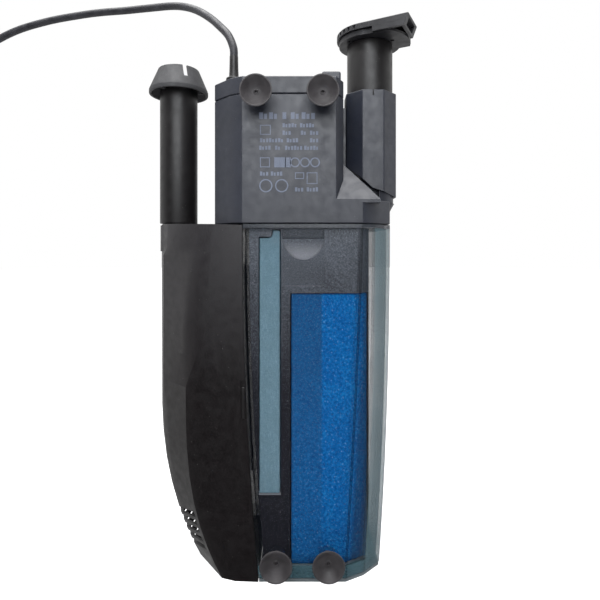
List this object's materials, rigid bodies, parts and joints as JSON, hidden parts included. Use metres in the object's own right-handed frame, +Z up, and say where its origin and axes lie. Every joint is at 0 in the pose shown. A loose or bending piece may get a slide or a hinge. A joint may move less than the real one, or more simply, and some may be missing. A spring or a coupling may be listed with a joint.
{
  "type": "internal power filter",
  "caption": "Submersible aquarium filter: faceted pump head on a smoke canister with foam and wool, side inlet housing, skimmer tube, swivelling jet nozzle and mains lead.",
  "frame": {"origin": "on the flat base plane, under the pump head's centre line and at mid depth", "axes": "+Z up the filter, -Z the base's outward normal, -Y towards the glass that the suction cups hold, +X towards the outlet"},
  "size_m": [0.3746, 0.1131, 0.3775],
  "materials": {
    "housing_black": "satin",
    "head_slate": "satin",
    "cap_grey": "matte",
    "smoke_clear": "gloss",
    "basket_speckled": "matte",
    "foam_blue": "open-cell foam",
    "wool_pale": "fibrous",
    "rubber_black": "matte",
    "cup_rubber": "satin",
    "cable_black": "satin",
    "natural_white": "matte",
    "ceramic_white": "polished",
    "ferrite": "matte",
    "lamination_steel": "satin",
    "copper_wire": "enamelled",
    "pin_metal": "polished"
  },
  "bodies": {
    "case": {"base_plate": "housing_black", "canister_shell": "smoke_clear", "media_basket": "basket_speckled", "foam_sponge": "foam_blue", "wool_pad": "wool_pale", "cup_holder_lower_left": "housing_black", "cup_holder_lower_right": "housing_black", "suction_cup_lower_left": "cup_rubber", "suction_cup_lower_right": "cup_rubber", "cord_coil": "cable_black", "cord_tail": "cable_black", "cord_tie": "cable_black", "plug_body": "cable_black", "plug_pin_left": "pin_metal", "plug_pin_right": "pin_metal"},
    "intake": {"intake_housing": "housing_black"},
    "clip": {"side_clip": "housing_black"},
    "skimmer": {"skimmer_tube": "housing_black"},
    "skimmer_crown": {"skimmer_cap": "cap_grey"},
    "pump_head": {"motor_housing": "head_slate", "motor_cap": "head_slate", "volute_cover": "head_slate", "impeller_shaft": "ceramic_white", "bushing_lower": "rubber_black", "bushing_upper": "rubber_black", "stator_core": "lamination_steel", "coil_bobbin": "natural_white", "winding": "copper_wire", "outlet_sleeve": "head_slate", "suction_cup_upper_left": "cup_rubber", "suction_cup_upper_right": "cup_rubber", "cup_holder_upper_left": "housing_black", "cup_holder_upper_right": "housing_black", "cable_gland": "rubber_black", "cord_lead": "cable_black"},
    "rotor": {"impeller": "natural_white", "rotor_magnet": "ferrite"},
    "telescope": {"outlet_tube": "housing_black"},
    "nozzle": {"nozzle_base": "housing_black"},
    "regulator": {"nozzle_cover": "housing_black"}
  },
  "joints": [
    {"name": "head_lift", "type": "slide", "parent": "case", "child": "pump_head", "axis": [0, 0, 1], "range_m": [0, 0.045]},
    {"name": "rotor_spin", "type": "hinge", "parent": "pump_head", "child": "rotor", "pos_m": [-0.006, 0, 0.252], "axis": [0, 0, 1], "continuous": true},
    {"name": "outlet_telescope", "type": "slide", "parent": "pump_head", "child": "telescope", "axis": [0, 0, 1], "range_m": [-0.013, 0.018]},
    {"name": "nozzle_swivel", "type": "hinge", "parent": "telescope", "child": "nozzle", "pos_m": [0.0455, 0, 0.3363], "axis": [0, 0, 1], "continuous": true},
    {"name": "flow_regulator", "type": "hinge", "parent": "nozzle", "child": "regulator", "pos_m": [0.0455, 0, 0.3398], "axis": [0, 0, 1], "range_deg": [-45, 0]},
    {"name": "intake_pull", "type": "slide", "parent": "case", "child": "intake", "axis": [-1, 0, 0], "range_m": [0, 0.025]},
    {"name": "clip_slide", "type": "slide", "parent": "intake", "child": "clip", "axis": [0, 0, 1], "range_m": [0, 0.003]},
    {"name": "skimmer_pull", "type": "slide", "parent": "intake", "child": "skimmer", "axis": [0, 0, 1], "range_m": [0, 0.014]},
    {"name": "crown_slide", "type": "slide", "parent": "skimmer", "child": "skimmer_crown", "axis": [0, 0, 1], "range_m": [0, 0.008]}
  ]
}
